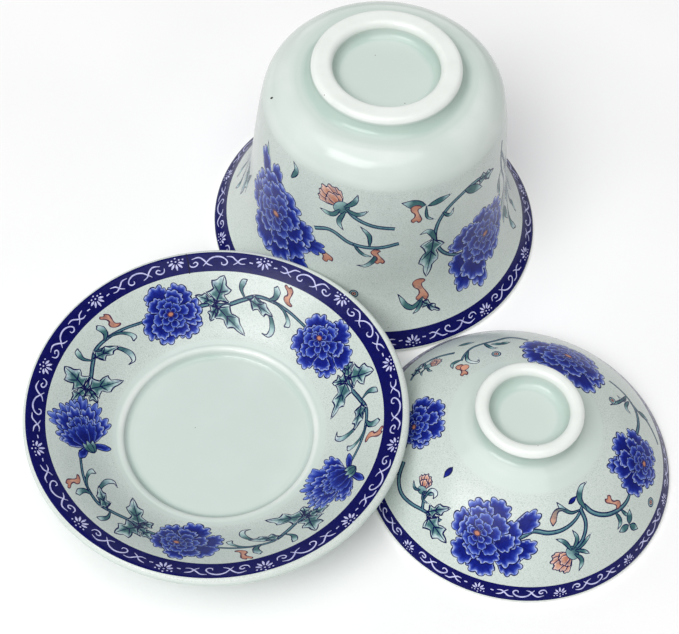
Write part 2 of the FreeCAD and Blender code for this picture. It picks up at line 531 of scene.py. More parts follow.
def bloom(pen, radius, outer=7, lean=0j, start=0.0):
    """An open peony seen from the front. Lean moves its heart, as if the flower looks that way."""
    chance = pen.canvas.chance
    pen.fill(disc(radius * 0.62), DEEP)
    rings = [
        # In radii: reach, length, width. Then the petals, their lobes and notches, their paint.
        (1.04, 0.78, 0.94, outer - 1, 9, 0.24, PETAL),
        (0.80, 0.58, 0.70, outer - 2, 9, 0.22, PETAL),
        (0.58, 0.42, 0.50, 6, 7, 0.20, PETAL_SMALL),
        (0.42, 0.30, 0.36, 6, 7, 0.18, PETAL_SMALL),
        (0.27, 0.22, 0.26, 5, 5, 0.15, PETAL_SMALL),
    ]
    for number, (reach, length, width, count, lobes, depth, stops) in enumerate(rings):
        if length * radius < 1.4:
            continue
        turns = [start + 360 * (k + 0.5 * (number % 2)) / count for k in range(count)]
        chance.shuffle(turns)
        for turn in turns:
            turn += chance.uniform(-9, 9)
            tip = ray(turn, reach * radius * chance.uniform(0.88, 1.06))
            size = length * radius * chance.uniform(0.92, 1.08)
            base = tip - ray(turn, size) + lean * radius * (1 - reach)
            petal(
                pen.at(base, turn), size, width * radius * chance.uniform(0.88, 1.12), lobes, depth,
                chance.uniform(-0.5, 0.5), stops, 0.3 if number < 2 else 0.22,
            )
    heart = lean * radius * 0.85
    pen.fill(heart + disc(radius * 0.1, 0.8), RUST)
    pen.fill(heart + disc(radius * 0.065, 0.8), CORAL)


def side_bloom(pen, radius):
    """A peony seen from the side, growing from its calyx at 0 towards +y."""
    rows = [
        # base height, length, width, directions, stops
        (0.25, 0.95, 0.62, (24, 156), PETAL),
        (0.35, 1.15, 0.62, (50, 130, 72, 108, 90), PETAL_SMALL),
        (0.25, 1.05, 0.60, (60, 120, 90), PETAL),
        (0.12, 0.84, 0.56, (38, 142, 72, 108), PETAL),
        (0.55, 0.42, 0.34, (55, 125, 90), PETAL_SMALL),
        (0.05, 0.70, 0.52, (62, 118, 90), PETAL_DARK),
    ]
    chance = pen.canvas.chance
    for height, length, width, directions, stops in rows:
        for turn in directions:
            turn += chance.uniform(-5, 5)
            base = 1j * height * radius + ray(turn, 0.04 * radius)
            petal(
                pen.at(base, turn), length * radius * chance.uniform(0.93, 1.06), width * radius, 9,
                0.26, chance.uniform(-0.4, 0.4), stops, 0.24,
            )
    petal(pen.at(-0.1 + 0.15j * radius, 205), 0.62 * radius, 0.26 * radius, 5, 0.1, 0, PETAL_DARK)
    petal(pen.at(0.1 + 0.15j * radius, -25), 0.62 * radius, 0.26 * radius, 5, 0.1, 0, PETAL_DARK)
    for turn in (62, 118, 90):
        blade(pen.at(-0.1j * radius, turn), 0.42 * radius, 0.2 * radius)


def blade(pen, length, width, stops=LEAF):
    """A narrow pointed leaf from 0 towards +x."""
    side = [0, 0.25 + 0.42j, 0.55 + 0.5j, 0.85 + 0.2j, 1]
    upper = smooth_path([complex(p.real * length, p.imag * width) for p in map(complex, side)])
    outline = np.concatenate([upper, np.conj(upper[1:-1][::-1])])
    shape(pen, outline, along(0, length, stops), 0.3)


def leaf(pen, length, width):
    """A lobed leaf from 0 towards +x with pointed lobes and veins."""
    marks = [
        (0.02, 0.05), (0.14, 0.26), (0.26, 0.92), (0.42, 0.44), (0.66, 0.72), (0.74, 0.34), (1, 0),
    ]
    sides = []
    for sign in (1, -1):
        side = []
        for index, (x, y) in enumerate(marks):
            shake = pen.canvas.chance.uniform(-0.06, 0.06) if 0 < index < 6 else 0
            side.append(complex((x + shake * 0.6) * length, sign * (y + shake) * width / 2))
        sides.append(side)

    def edge(side, sign):
        out = []
        for number, (p, q) in enumerate(zip(side, side[1:])):
            share = np.arange(0, 1, BRUSH_STEP / max(abs(q - p), 0.36))
            bow = 0.16 if number in (1, 3, 5) else -0.1
            bulge = sign * 1j * (q - p) * bow * 4 * share * (1 - share) * 0.6
            out.append(p + (q - p) * share + bulge)
        return np.concatenate(out)

    outline = np.concatenate([edge(sides[0], 1), [sides[0][-1]], edge(sides[1], -1)[::-1]])
    shape(pen, outline, spread(inset(outline, 0.3), 0.3 * length, LEAF, 0.05, 1.0), 0.4)
    vein(pen, [0, 0.5 * length + 0.03j * width, 0.93 * length])
    for side in sides:
        vein(pen, [0.12 * length, 0.7 * side[2] + 0.08 * length])
        vein(pen, [0.4 * length, 0.25 * 0.4 * length + 0.72 * side[4]])


def vein(pen, path):
    pen.fill(ribbon(path, [0.456, 0.38, 0.19]), OUTLINE)


def stem(pen, path, width=1.15, end=0.8):
    """A stalk: a dark stroke with a lighter core, and a light line along it."""
    path = np.asarray(path, complex)
    widths = np.linspace(width, width * end, 5) * 1.16
    pen.fill(ribbon(path, widths), OUTLINE)
    pen.fill(ribbon(path, np.maximum(widths - 0.66, 0.28)), STALK)
    pen.fill(ribbon(path + 0.1j, np.maximum(widths - 1.2, 0.14)), STALK_LIGHT)


def curl(pen, path, width, head=1.0, stops=LEAF):
    """A comma: a tapering curve with a round head at its far end."""
    widths = [0.35 * width, 0.6 * width, 0.8 * width, width, width * head, 0.2 * width]
    outline = ribbon(path, widths)
    path = np.asarray(path, complex)
    shape(pen, outline, along(path[0], path[-1], stops), 0.28)


def sickle(pen, path, width):
    """A crescent, widest in its middle."""
    outline = ribbon(path, [0.3 * width, 0.85 * width, width, 0.8 * width, 0.12 * width])
    path = np.asarray(path, complex)
    shape(pen, outline, along(path[0], path[-1], LEAF), 0.28)


def fallen(pen, size):
    """A loose coral petal with a folded foot, from 0 towards +y."""
    corners = np.array([
        0, 0.34 - 0.02j, 0.58 + 0.16j, 0.5 + 0.42j, 0.27 + 0.6j, 0.24 + 0.8j, 0.4 + 1.02j,
        0.2 + 1.2j, 0.02 + 1.1j, -0.16 + 1.22j, -0.34 + 1.02j, -0.2 + 0.74j, -0.02 + 0.5j,
        0.04 + 0.28j, -0.14 + 0.16j,
    ])
    slim = (corners.real * 0.82 + 1j * corners.imag) * size
    outline = smooth_path(slim, closed=True, step=0.3)
    shape(pen, outline, along(0, 1.1j * size, [(0, CORAL), (0.6, PEACH), (1, CORAL)]), 0.36, RUST)


def bud(pen, size):
    """A coral bud in its calyx, growing from 0 towards +y."""
    coral = [(0, (178, 112, 100)), (0.5, CORAL), (0.85, PEACH), (1, (234, 202, 190))]
    petals = (
        (58, 0.86), (122, 0.9), (74, 1), (106, 0.96), (90, 1.06), (66, 0.62), (114, 0.6), (90, 0.68),
    )
    for turn, length in petals:
        petal(
            pen.at(0.22j * size, turn), length * size, 0.5 * size, 7, 0.2,
            pen.canvas.chance.uniform(-0.4, 0.4), coral, 0.3,
        )
    green = along(0j, 0.4j * size, [(0, TEAL), (1, MINT)])
    shape(pen, disc(0.34 * size, 0.85) + 0.14j * size, green, 0.22)
    sickle(pen, np.array([-0.1 + 0.1j, -0.55 + 0.05j, -0.85 + 0.45j]) * size, 0.24 * size)
    sickle(pen, np.array([0.1 + 0.1j, 0.6 + 0.1j, 0.95 + 0.3j]) * size, 0.24 * size)
    sickle(pen, np.array([0.1 + 0.05j, 0.3 - 0.4j, 0.75 - 0.5j]) * size, 0.22 * size)


def rosette(pen, radius):
    """Small rings one inside the other."""
    rings = ((1, OUTLINE), (0.78, MINT), (0.58, OUTLINE), (0.4, PEACH), (0.2, OUTLINE))
    for share, colour in rings:
        pen.fill(disc(radius * share), colour)


def cluster(pen, size):
    """Three lobed leaves and a small one, which fan out from the end of a stalk."""
    leaf(pen.at(0, -150), 0.56 * size, 0.46 * size)
    leaf(pen.at(0.3j, 128), 0.5 * size, 0.44 * size)
    leaf(pen.at(-0.06 * size, -58), 0.86 * size, 0.66 * size)
    leaf(pen.at(-0.06 * size, 55), 0.9 * size, 0.72 * size)


# ---- rim bands

def scroll(pen, size=1.0, stretch=1.0):
    """A long S with a hook at both ends, a crossing tail, a small curl and a dash, along x."""
    strokes = [
        ([-8.2 + 0.1j, -7.7 + 1.2j, -6.6 + 1.5j, -5.8 + 0.7j, -6.4 + 0.05j, -7.0 + 0.45j],
         [0.25, 0.5, 0.5, 0.4]),
        ([-7.4 - 0.9j, -5.6 - 1.3j, -4.2 - 0.3j, -3.2 + 1.0j, -2.0 + 1.55j],
         [0.2, 0.5, 0.55, 0.5, 0.2]),
        ([-4.4 + 1.5j, -3.6 + 0.5j, -2.4 - 0.8j, -0.6 - 1.3j, 1.0 - 0.8j, 1.9 + 0.4j, 1.4 + 1.3j,
          0.5 + 1.2j, 0.4 + 0.5j], [0.2, 0.5, 0.55, 0.6, 0.5, 0.5, 0.3]),
        ([1.7 - 1.3j, 3.2 - 1.2j, 4.2 - 0.2j, 5.4 + 0.8j, 6.6 + 0.7j], [0.2, 0.5, 0.55, 0.5, 0.2]),
        ([3.4 + 1.3j, 4.4 + 0.6j, 5.4 - 0.6j, 6.9 - 1.1j], [0.2, 0.45, 0.5, 0.2]),
        ([7.7 + 0.1j, 8.6 + 0.2j], [0.45, 0.4]),
    ]
    for path, widths in strokes:
        path = np.array(path)
        path = (path.real * stretch + 1j * path.imag) * size
        pen.fill(ribbon(path, np.array(widths) * 0.8, 0.3), LILAC)


def burst(pen, size=1.0):
    """A fan of drops over a row of dots."""
    for turn, length in ((90, 1.55), (52, 1.5), (128, 1.5), (20, 1.35), (160, 1.35)):
        base = ray(turn, 0.75)
        tip = ray(turn, 0.75 + length)
        path = np.array([base, (base + tip) / 2, tip]) * size
        pen.fill(ribbon(path - 0.9j * size, np.array([0.2, 0.6, 0.25]) * size, 0.3), LILAC)
    for x, y in ((0, -0.9), (-0.95, -1.25), (0.95, -1.25), (-1.9, -1.2), (1.9, -1.2), (0, -1.75)):
        pen.fill(disc(0.23 * size, 0.8, 10) + complex(x, y) * size, LILAC)


def band_pattern(canvas, first, size, around, **place):
    """Twelve bursts and scrolls in turn round the rim. Every second scroll is mirrored."""
    middle = float(canvas.surface.way_at(**place))
    for number in range(12):
        turn = math.radians(first + 360 / 12 * number)
        burst(Pen(canvas, turn, middle), size * 1.22)
        between = Pen(canvas, turn + FULL / 12 / 2, middle)
        scroll(between.at(mirror=number % 2 == 1), size, around)


# ---- designs

def marks(pen, places, on):
    """The pen's points for places given as (degrees, radius or height)."""
    ways = np.array([pen.canvas.surface.way_at(**{on: value}) for degrees, value in places])
    return pen.find(np.radians([degrees for degrees, value in places]), ways)


def garland(pen):
    """Leaves, tendrils and a fallen petal on a stalk; x runs on to the next flower."""
    stalk = [6, 12 - 1j, 17 - 0.6j, 23 - 2.6j, 28 - 4.4j, 33 - 4.2j, 38 - 3.2j, 42 - 2.0j, 46 - 1j]
    stem(pen, stalk, 1.25)
    curl(pen, [24 - 3j, 23.6 - 6j, 25.2 - 8.4j, 26.6 - 9.2j], 1.7)
    curl(pen, [27 - 4.4j, 30.5 - 1.5j, 31 + 3.2j, 28.6 + 6.4j, 26.4 + 6.4j], 1.9, 0.7)
    leaf(pen.at(24.6 - 3.4j, 26), 8.4, 6.4)
    curl(pen, [32 - 4.2j, 34.5 - 5.6j, 36 - 8.2j, 36.4 - 9.3j], 1.9, 1.25)
    curl(pen, [33.5 - 4.2j, 36.6 - 2.6j, 37.4 + 0.2j, 35.4 + 1.9j], 1.7, 0.9)
    fallen(pen.at(39.6 - 4.6j, 190), 5.0)
    cluster(pen.at(14.6 - 0.8j), 12.6)


def saucer_design(canvas):
    """Five peonies with a garland between them, and a band with its printed seam."""
    flowers = (116.0, 43.4, -27.0, -98.0, -171.0)
    for degrees in flowers:
        garland(canvas.pen(degrees, radius=40.6).at(mirror=True))
    open_flowers = ((116.0, 0.05, 0), (43.4, 0.3 - 0.12j, 20), (-98.0, -0.25 - 0.1j, 200))
    for degrees, lean, turn in open_flowers:
        bloom(canvas.pen(degrees, radius=40.8), 10.6, 7, lean, turn)
    for degrees, turn in ((-171.0, -118), (-27.0, -52)):
        flower = canvas.pen(degrees, radius=40.4).at(mirror=True)
        side_bloom(flower.at(-ray(turn + 90, 6.6), turn), 11.6)
    band_pattern(canvas, -10.5, 1.0, 1.2, radius=52.5)
    seam = canvas.pen(105.4, radius=52.4)
    seam.fill(ribbon([0.1 + 3.3j, -0.1, 0.15 - 3.2j], [0.4, 0.5, 0.35]), SEAM)


def bowl_side(canvas, turned):
    """The decoration of half the bowl, as seen from the front when turned is 0."""
    def at(degrees, height, turn=0):
        return canvas.pen(degrees + turned, height=height).at(0, turn)

    home = at(-90, 35)

    def path(*places):
        turned_places = [(degrees + turned, height) for degrees, height in places]
        return home, marks(home, turned_places, "height")

    # Leaves and stalks behind the flowers, at the ends of this half.
    stem(*path((-19, 54), (-14, 46), (-8, 36), (-4, 26), (-3, 16)), 1.1)
    leaf(at(-14, 46, -62), 12, 6)
    leaf(at(-6, 32, -95), 12, 6.5)
    sickle(*path((-20, 42), (-20.7, 38), (-19, 33)), 1.6)
    curl(*path((-6.5, 22), (-9.5, 17), (-10.5, 13), (-8.5, 9.5)), 1.9)
    stem(*path((-17, 57), (-19, 51), (-17.5, 44), (-13.5, 37), (-12, 29), (-14, 23)), 1.0)
    sickle(*path((-12.6, 33), (-15.8, 29), (-16.4, 23.5)), 1.7)
    blade(at(-13.8, 24, -78), 8.5, 3.0)
    blade(at(-13.6, 24.4, -112), 7.0, 2.6)
    sickle(*path((-18, 46), (-22, 42), (-22.8, 36.5)), 1.5)
    curl(*path((-3.5, 18), (-1, 14), (-1.6, 10.5)), 1.7)
    leaf(at(-176, 31, -86), 17, 8.5)
    sickle(*path((-176, 31), (-178.5, 35), (-176.5, 39)), 1.7)
    sickle(*path((-168, 30), (-171.5, 24), (-170.5, 19)), 1.6)

    # The large peony with its stalks, bud and tendrils.
    stem(*path((-118, 40), (-110.5, 41.9), (-100.9, 38.6), (-90, 38), (-80, 39.9)), 1.35, 0.95)
    stem(*path((-104, 52.4), (-99.5, 49.6), (-92.1, 47.4), (-82.2, 46.4)), 1.3, 0.95)
    sickle(*path((-92.6, 38.2), (-93.2, 43), (-97.4, 46.6)), 1.7)
    sickle(*path((-90, 37.8), (-89.8, 33.5), (-93.5, 29.8), (-97.5, 29.5)), 1.9)
    sickle(*path((-100, 38.6), (-95, 34.6), (-90.5, 34)), 1.4)
    fallen(at(-88.6, 37.3, 188), 5.4)
    bud(at(-105.3, 51.8, 46), 8.4)
    sickle(*path((-104.6, 51.4), (-107, 46.5), (-104.6, 43.4)), 1.9)
    fallen(at(-115.5, 34.5, 215), 6.6)
    sickle(*path((-133.5, 54), (-131.2, 58.2), (-133.8, 60.6)), 2.0)
    sickle(*path((-154, 47), (-152.2, 52.5), (-153.8, 57.5)), 1.8)
    flower = at(-140, 33.5)
    petal(flower.at(-5 + 8j, 112), 14, 7.4, 7, 0.22, 0.2)
    petal(flower.at(-2 + 8j, 88), 13, 6.6, 7, 0.22, -0.2)
    petal(flower.at(7 - 1j, -6), 13.5, 8.6, 9, 0.26, 0.1, PETAL_DARK)
    petal(flower.at(6 - 6j, -44), 12.5, 8, 9, 0.26, 0.3, PETAL_DARK)
    bloom(flower, 16.2, 9, 0.02j, 12)

    # The other peony on its curled stalk.
    stem(*path(
        (-31, 50.5), (-36, 53.4), (-43, 54.4), (-51, 53), (-58, 50), (-62.6, 45), (-63.4, 38.4),
        (-59.4, 31.5), (-52, 27), (-46, 26),
    ), 1.4)
    blade(at(-49, 54.4, -30), 9.5, 3.4)
    leaf(at(-41, 54, -14), 9.6, 5.0)
    blade(at(-68.5, 54.6, 163), 8.2, 3.6)
    blade(at(-68.4, 54.0, 12), 8.6, 2.4)
    sickle(*path((-68.6, 54.2), (-67.8, 49.4), (-63.8, 47.4)), 1.2)
    fallen(at(-71.4, 55.0, 172), 6.0)
    sickle(*path((-60.5, 49.5), (-56.5, 47), (-54.6, 49.4)), 1.5)
    leaf(at(-64, 41, -97), 18.5, 9.4)
    sickle(*path((-63, 38), (-66.8, 43), (-71, 42.4)), 2.2)
    fallen(at(-68.4, 22.6, 178), 7.4)
    sickle(*path((-68.6, 15.4), (-74, 12.6), (-79.4, 18)), 2.1)
    leaf(at(-70.4, 14.4, -40), 9.4, 3.6)
    sickle(*path((-69, 14.6), (-71.2, 11.6), (-73.4, 10.4)), 1.6)
    flower = at(-36.5, 26)
    petal(flower.at(-5 - 4j, -128), 13, 8.6, 7, 0.22, 0.2)
    petal(flower.at(-2 - 5j, -102), 13.4, 8.6, 7, 0.24, -0.2)
    petal(flower.at(-6 + 3j, 160), 9, 7, 7, 0.22, 0.4)
    bloom(flower, 14.2, 8, 0.16 + 0.02j, 40)

    rosette(at(-97.4, 17.6), 1.5)


def bowl_design(canvas):
    """The front's decoration, again on the back, with the rim band and a kiln fleck."""
    for turned in (0, 180):
        bowl_side(canvas, turned)
    band_pattern(canvas, -44.3, 0.95, 1.25, height=3.35)
    fleck = canvas.pen(-166, height=66.9)
    fleck.fill(disc(0.34, 2.0, 10) * ray(-30), FLECK)


def lid_design(canvas):
    """Four peonies joined by stalks round the lid, with the rim band."""
    def at(degrees, radius, turn=0):
        return canvas.pen(degrees, radius=radius).at(0, turn)

    def path(*places):
        start = at(*places[0])
        return start, marks(start, places, "radius")

    # From the front flower to the right one.
    stem(*path(
        (-95, 34.2), (-90, 32.9), (-85.9, 31.9), (-78, 32.6), (-70, 32.4), (-62, 31), (-55, 28.6),
    ), 1.35)
    stem(*path((-57.6, 29.4), (-58, 33), (-62, 36), (-67, 37.6)), 1.2)
    stem(*path((-55, 28.8), (-52, 31.6), (-46, 34), (-38, 35.4), (-31, 35.6), (-25, 34.6)), 1.35)
    sickle(*path((-54.6, 30.2), (-55.4, 27), (-50, 24.6), (-44.6, 24.4)), 2.0)
    curl(*path((-58, 29.4), (-63.5, 29.2), (-68, 27.4), (-70.4, 25.5)), 1.5)
    flushed = [(0, TEAL), (1, PEACH)]
    curl(*path((-66, 28.2), (-71, 27.6), (-74.4, 29.4), (-75.6, 31.2)), 1.7, 1.2, flushed)
    blade(at(-63.6, 27.0, 20), 3.6, 1.5, PETAL_DARK)
    fallen(at(-38.6, 35.2, 12), 4.6)
    sickle(*path((-41, 35.2), (-41.2, 37.6), (-44.4, 38.6)), 1.6)
    sickle(*path((-37.6, 35.6), (-36.6, 37.6), (-34.8, 38.2)), 1.3)
    bud(at(-67, 37.8, 118), 6.8)
    sickle(at(-67, 37.8), np.array([0.2, 2.2 + 0.6j, 6.2 + 3.0j]), 1.3)
    sickle(at(-67, 37.8), np.array([0.1, 2.4 - 1.0j, 4.4 - 2.6j]), 1.4)
    for turn, length in ((150, 4.4), (28, 4.6), (-80, 4.2)):
        blade(at(-38.2, 39.8, turn + 20), length, 2.3)
    rosette(at(-22.3, 41.7), 1.5)

    # From the right flower round to the far one.
    stem(*path((4, 34), (12, 36), (20, 37), (29, 36.2), (38, 34)), 1.2)
    stem(*path((24, 36.6), (18, 38.6), (16, 40.2), (10, 41.8), (6, 42.6)), 1.0)
    sickle(*path((27.6, 36.2), (25, 33.4), (28, 32.4)), 1.6)
    sickle(*path((24.6, 36), (20.4, 33.4), (16.4, 34.2)), 1.6)
    blade(at(20, 38, -120), 5.4, 2.0)
    sickle(*path((26, 35), (23, 31), (21, 27.6)), 1.3)
    rosette(at(24.4, 29.4), 1.3)

    # From the far flower to the left one.
    stem(*path((86, 34), (95, 35.4), (104.2, 33.8), (116.7, 33.2), (124, 31.4), (129, 29.6)), 1.2)
    sickle(*path((120, 32.6), (126, 28.6), (123, 25.8), (119.6, 27.4)), 1.5)
    fallen(at(131, 28.4, 330), 4.6)
    pen = at(132, 26.6)
    shape(pen, disc(1.5, 0.9), PEACH_LIGHT, 0.24, RUST)
    sickle(*path((128, 30), (134, 30.6), (137, 29)), 1.6)
    sickle(*path((110, 33.6), (108, 30), (104.6, 29.4)), 1.6)
    blade(at(103.6, 31.2, 196), 4.6, 1.9)
    blade(at(99.6, 31.2, -16), 4.6, 1.9)
    rosette(at(107.9, 26.6), 1.5)
    stem(*path((126, 34.6), (134, 38.2), (142, 39.6), (150, 38.6)), 1.1)
    bud(at(141, 37.4, 60), 4.6)
    leaf(at(148, 38.6, 195), 7.4, 4.2)
    blade(at(121, 37.4, 160), 5.6, 2.2)

    # From the left flower to the front one.
    stem(*path((-164, 36.4), (-158, 39), (-152, 39.9), (-145.8, 39.3), (-139, 38), (-130, 37)), 1.3)
    stem(*path((-140, 38), (-143.6, 36), (-146, 35.4)), 1.0)
    leaf(at(-137, 38.2, -16), 10.4, 7.4)
    leaf(at(-138, 38.0, 52), 8.0, 5.4)
    bud(at(-146, 35.8, 28), 4.6)
    curl(*path((-142.6, 36.4), (-143.4, 33.8), (-140.6, 33.2), (-139.4, 34.6)), 1.5)
    sickle(*path((-160, 38.4), (-163.6, 41), (-168, 40.2)), 1.7)
    blade(at(-145.4, 25.6, -78), 4.4, 1.9, PETAL_DARK)

    flower = at(-105.2, 35.2)
    petal(flower.at(4 + 3.4j, 34), 9.5, 8, 9, 0.24, 0.1)
    petal(flower.at(4 - 1.4j, 0), 9.4, 8, 9, 0.24, 0.3)
    petal(flower.at(3 - 3.4j, -40), 8.6, 8, 9, 0.24, 0.2)
    bloom(flower.at(-1.8), 11.0, 8, -0.3 + 0.02j, 22)
    flower = at(-10, 34.4)
    petal(flower.at(-2 + 3j, 128), 8.4, 7, 9, 0.24, 0.2)
    bloom(flower, 10.6, 7, 0.06 - 0.34j, 8)
    bloom(at(62, 29.6).at(squash=1.25), 11.2, 8, 0.04 - 0.2j, 30)
    bloom(at(178.5, 31.8), 9.4, 7, 0.1 - 0.1j, 60)
    band_pattern(canvas, -75.2, 0.76, 1.28, radius=45.25)


# ---- materials

class Nodes:
    """Small helpers to write a material's nodes in few lines."""

    def __init__(self, material):
        material.use_nodes = True
        self.tree = material.node_tree
        self.tree.nodes.clear()

    def add(self, kind, inputs=None, **settings):
        node = self.tree.nodes.new("ShaderNode" + kind)
        for name, value in settings.items():
            setattr(node, name, value)
        for name, value in (inputs or {}).items():
            socket = node.inputs[name]
            if isinstance(value, bpy.types.NodeSocket):
                self.tree.links.new(value, socket)
            else:
                socket.default_value = value
        return node

    def noise(self, vector, scale, detail=3.0, roughness=0.55):
        node = self.add("TexNoise", {
            "Vector": vector, "Scale": scale, "Detail": detail, "Roughness": roughness,
        })
        return node.outputs["Fac"]

    def span(self, value, low, high, to_low=0.0, to_high=1.0, smooth=True):
        node = self.add("MapRange", {
            "Value": value, "From Min": low, "From Max": high, "To Min": to_low, "To Max": to_high,
        }, interpolation_type="SMOOTHSTEP" if smooth else "LINEAR")
        return node.outputs["Result"]

    def sum(self, a, b, operation="ADD"):
        return self.add("Math", {0: a, 1: b}, operation=operation).outputs[0]

    def finish(self, inputs):
        """The surface shader, led to the material's output."""
        shader = self.add("BsdfPrincipled", inputs)
        self.add("OutputMaterial", {"Surface": shader.outputs[0]})

    def mix(self, factor, a, b, blend="MIX"):
        node = self.add("Mix", data_type="RGBA", blend_type=blend)
        for socket, value in ((node.inputs[0], factor), (node.inputs[6], a), (node.inputs[7], b)):
            if isinstance(value, bpy.types.NodeSocket):
                self.tree.links.new(value, socket)
            elif isinstance(value, tuple):
                socket.default_value = (*linear(value), 1)
            else:
                socket.default_value = value
        return node.outputs[2]


def porcelain(name):
    """Pale celadon glaze over a white body, with cobalt painting under it."""
    material = bpy.data.materials.new(name)
    nodes = Nodes(material)
    place = nodes.add("TexCoord").outputs["Object"]
    paint = nodes.add("Attribute", attribute_name="paint")
    glaze = nodes.add("Attribute", attribute_name="glaze")
    split = nodes.add("SeparateColor", {"Color": glaze.outputs["Color"]})
    pool_and_painted_light, ground, raw = split.outputs[0], split.outputs[1], split.outputs[2]

    # The glaze: greener where it pools in hollows, whiter where it runs thin on edges. The pool
    # channel also carries painted shade into hollows and painted highlight onto edges and the top of
    # the bowl's foot ring, so the pale white and the greens paint light and shade as well.
    drift = nodes.noise(place, 42, 2.0)
    depth = nodes.sum(pool_and_painted_light, nodes.span(drift, 0.3, 0.7, -0.10, 0.10, False))
    body = nodes.mix(nodes.span(depth, 0.0, 0.5), (238, 242, 238), (205, 217, 211))
    body = nodes.mix(nodes.span(depth, 0.55, 0.95), body, (182, 202, 193))
    cloud = nodes.noise(place, 190, 3.0)
    body = nodes.mix(nodes.span(cloud, 0.35, 0.75, 0, 0.16), body, (204, 216, 208))

    # The decorated ground is duller and full of fine grains, dark and light.
    grain = nodes.noise(place, 2600, 1.0)
    fine = nodes.noise(place, 5200, 0.0)
    grey = nodes.mix(nodes.span(grain, 0.48, 0.72), (200, 208, 203), (160, 172, 166))
    grey = nodes.mix(nodes.span(fine, 0.56, 0.74), grey, (228, 234, 230))
    body = nodes.mix(nodes.sum(ground, 0.62, "MULTIPLY"), body, grey)
    pits = nodes.add("TexVoronoi", {"Vector": place, "Scale": 210}, feature="F1")
    pit = nodes.span(pits.outputs["Distance"], 0.035, 0.05, 1, 0)
    chosen = nodes.add("SeparateColor", {"Color": pits.outputs["Color"]})
    pit = nodes.sum(pit, nodes.span(chosen.outputs[0], 0.93, 0.94), "MULTIPLY")
    body = nodes.mix(nodes.sum(pit, 0.7, "MULTIPLY"), body, (92, 84, 74))

    # The painting: cobalt gathers in darker and lighter patches.
    heap = nodes.noise(place, 620, 4.0, 0.65)
    dark = nodes.mix(1.0, paint.outputs["Color"], (196, 200, 224), "MULTIPLY")
    colour = nodes.mix(nodes.span(heap, 0.42, 0.72), paint.outputs["Color"], dark)
    colour = nodes.mix(nodes.span(grain, 0.58, 0.8, 0, 0.04), colour, (90, 104, 206))
    cover = nodes.sum(paint.outputs["Alpha"], nodes.span(fine, 0.3, 0.8, 1.0, 0.992), "MULTIPLY")
    surface = nodes.mix(cover, body, colour)
    bare_clay = nodes.mix(nodes.span(grain, 0.4, 0.7), (226, 220, 208), (206, 198, 184))
    surface = nodes.mix(raw, surface, bare_clay)

    gloss = nodes.span(cloud, 0.3, 0.7, 0.10, 0.17, False)
    gloss = nodes.sum(gloss, nodes.sum(ground, nodes.span(grain, 0.4, 0.7, 0.03, 0.09), "MULTIPLY"))
    gloss = nodes.sum(gloss, nodes.sum(raw, 0.5, "MULTIPLY"))
    swell = nodes.noise(place, 95, 1.0)
    lumps = nodes.add("Bump", {"Strength": 0.10, "Distance": 0.002, "Height": swell})
    skin = nodes.sum(nodes.sum(grain, ground, "MULTIPLY"), nodes.sum(cloud, 0.25, "MULTIPLY"))
    bump = nodes.add("Bump", {
        "Strength": 0.16, "Distance": 0.00035, "Height": skin, "Normal": lumps.outputs["Normal"],
    })
    nodes.finish({
        "Base Color": surface, "Roughness": gloss, "IOR": 1.52, "Normal": bump.outputs["Normal"],
        "Specular IOR Level": nodes.span(paint.outputs["Alpha"], 0, 1, 0.36, 0.13, False),
    })
    return material


def paper():
    """The plain pale floor, with the faint weave of a backdrop."""
    material = bpy.data.materials.new("floor_paper")
    nodes = Nodes(material)
    place = nodes.add("TexCoord").outputs["Object"]
    cloud = nodes.noise(place, 9, 2.0)
    colour = nodes.mix(nodes.span(cloud, 0.3, 0.7), (252, 252, 252), (248, 248, 248))
    weave = nodes.noise(place, 900, 2.0)
    bump = nodes.add("Bump", {"Strength": 0.05, "Distance": 0.0005, "Height": weave})
    nodes.finish({
        "Base Color": colour, "Roughness": 0.8, "Normal": bump.outputs["Normal"],
    })
    return material


# ---- the object

def glaze_pool_and_painted_light(surface, rim, way):
    """How thick the glaze lies, with painted light: 0 on edges, 1 in hollows. Thin glaze and painted
    highlight whiten edges, and pooled glaze and painted shade green hollows. The painted zone ends
    at way rim.
    """
    bend = surface.bend(way)
    radius, height = surface.at(way)
    # From the outline's bend: edges are whiter as thin glaze and painted highlight, and hollows are
    # greener as pooled glaze and painted shade. On the saucer, painted shade also greens everything
    # past the painted zone, under the rim.
    if surface.node == "saucer":
        pool_and_painted_light = 0.5 + bend * 0.6 + 0.3 * smoothstep(rim - 0.2, rim + 0.5, way)
    else:
        pool_and_painted_light = 0.5 + bend * np.where(bend < 0, 1.7, 0.95)
    if surface.node == "bowl":
        # Painted shade: green on the outside of the foot ring. Painted highlight: white on the top
        # of it.
        foot_side_shade = smoothstep(21.8, 22.7, radius) * smoothstep(70.6, 71.8, height)
        crown_highlight = smoothstep(75.0, 75.5, height)
        pool_and_painted_light = pool_and_painted_light + 0.25 * foot_side_shade * (1 - crown_highlight) - 0.5 * crown_highlight
    return np.clip(pool_and_painted_light, 0, 1)


def bare(surface, way):
    """1 on the saucer's foot, where it stood in the kiln and has no glaze."""
    if surface.node != "saucer":
        return 0 * way
    radius, height = surface.at(way)
    return (1 - smoothstep(0.1, 0.5, height)) * smoothstep(26.4, 27.2, radius)


def placed(name, data):
    """A new object in the scene."""
    item = bpy.data.objects.new(name, data)
    bpy.context.scene.collection.objects.link(item)
    return item


def make(node, zone, band, lip, ground, design, seed, step, shift=0.0):
    """One fired piece: its surface, its painting, and its place in the frame."""
    surface = Surface(node)
    start, end = (float(surface.way_at(**place)) for place in zone)
    edges = [float(surface.way_at(**place)) for place in (band, lip)]
    canvas = Canvas(
        surface, start, end, lambda angle: edges[0] - shift * np.cos(angle),
        lambda angle: edges[1] - shift * np.cos(angle), step,
    )
    canvas.ground = float(surface.way_at(**ground))
    canvas.chance = random.Random(seed)
    design(canvas)
    piece = build(surface, canvas)
    piece.data.materials.append(porcelain(node + "_porcelain"))
    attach(piece, node)
    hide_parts(node)
    return piece


